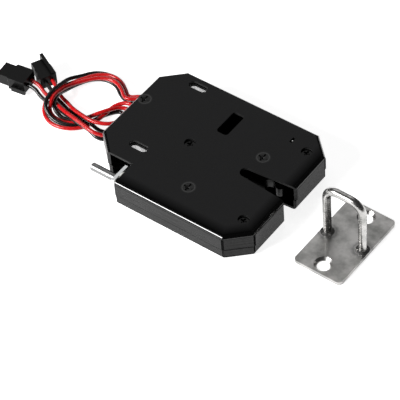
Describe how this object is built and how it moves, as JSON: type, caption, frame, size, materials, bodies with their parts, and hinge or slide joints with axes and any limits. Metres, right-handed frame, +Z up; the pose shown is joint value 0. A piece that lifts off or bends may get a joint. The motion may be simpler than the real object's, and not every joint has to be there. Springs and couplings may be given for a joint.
{
  "type": "electric lock",
  "caption": "Electric cabinet lock: flat sheet-steel case with a rotary latch, a push solenoid with its release rod and plug leads, beside its loop striker",
  "frame": {"origin": "middle of the lock case's underside", "axes": "+X points out of the mouth of the latch slot, +Z up from the mounting surface, +Y completes the right-handed frame"},
  "size_m": [0.1607, 0.058, 0.025],
  "materials": {
    "black_paint": "satin black paint on folded steel sheet",
    "black_steel": "blackened steel",
    "dark_steel": "dark hardened steel",
    "zinc_steel": "bright zinc plating",
    "spring_steel": "bright spring wire",
    "nickel_steel": "nickel plating with a fine grain",
    "plug_metal": "tinned brass",
    "copper_winding": "enamelled copper wire",
    "white_plastic": "moulded nylon",
    "red_plastic": "moulded",
    "black_plastic": "moulded",
    "black_rubber": "moulded rubber",
    "red_insulation": "glossy wire insulation",
    "black_insulation": "glossy wire insulation"
  },
  "bodies": {
    "case_body": {"cover_pillars": "zinc_steel", "cover_screws": "black_steel", "latch_post": "zinc_steel", "latch_spring": "spring_steel", "locating_posts": "black_steel", "lower_cover": "black_paint", "mounting_sleeves": "zinc_steel", "pawl_pin": "zinc_steel", "pawl_spring": "spring_steel", "plug_contacts": "plug_metal", "plug_housing": "black_plastic", "plunger_spring": "spring_steel", "socket_contacts": "plug_metal", "socket_housing": "black_plastic", "solenoid_bobbin": "white_plastic", "solenoid_frame": "zinc_steel", "solenoid_screws": "zinc_steel", "solenoid_stop": "zinc_steel", "solenoid_winding": "copper_winding", "striker_loop": "nickel_steel", "striker_plate": "nickel_steel", "switch_body": "black_plastic", "switch_pins": "zinc_steel", "switch_terminals": "plug_metal", "upper_cover": "black_paint", "wire_black_inner": "black_insulation", "wire_black_outer": "black_insulation", "wire_grommet": "black_rubber", "wire_red_inner": "red_insulation", "wire_red_outer": "red_insulation"},
    "latch_body": {"latch": "dark_steel", "latch_spring_tang": "spring_steel"},
    "pawl_body": {"pawl": "zinc_steel", "pawl_spring_tang": "spring_steel"},
    "rod_body": {"release_rod": "zinc_steel", "plunger": "zinc_steel"},
    "switch_lever_body": {"switch_lever": "spring_steel"},
    "switch_button_body": {"switch_button": "red_plastic"}
  },
  "joints": [
    {"name": "rod_slide", "type": "slide", "parent": "case_body", "child": "rod_body", "axis": [1, 0, 0], "range_m": [-0.0026, 0.001], "stiffness_N_per_m": 100, "deforming": ["plunger_spring"]},
    {"name": "pawl_turn", "type": "hinge", "parent": "case_body", "child": "pawl_body", "pos_m": [0.0102, -0.0085, 0.0061], "axis": [0, 0, 1], "range_deg": [-9.9, 3.9]},
    {"name": "latch_turn", "type": "hinge", "parent": "case_body", "child": "latch_body", "pos_m": [0.01865, 0.00905, 0.0058], "axis": [0, 0, 1], "range_deg": [-48, 0], "stiffness_Nm_per_rad": 0.03},
    {"name": "switch_lever_turn", "type": "hinge", "parent": "case_body", "child": "switch_lever_body", "pos_m": [0.0052, 0.0148, 0.0042], "axis": [0, 0, 1], "range_deg": [0, 12.1]},
    {"name": "switch_button_slide", "type": "slide", "parent": "case_body", "child": "switch_button_body", "axis": [0, 1, 0], "range_m": [0, 0.00051]}
  ],
  "couplings": [
    {"joint": "pawl_turn", "follows": "rod_slide", "rad_per_m": 65.8},
    {"joint": "switch_lever_turn", "follows": "latch_turn", "ratio": -0.25},
    {"joint": "switch_button_slide", "follows": "latch_turn", "m_per_rad": -0.000597}
  ]
}
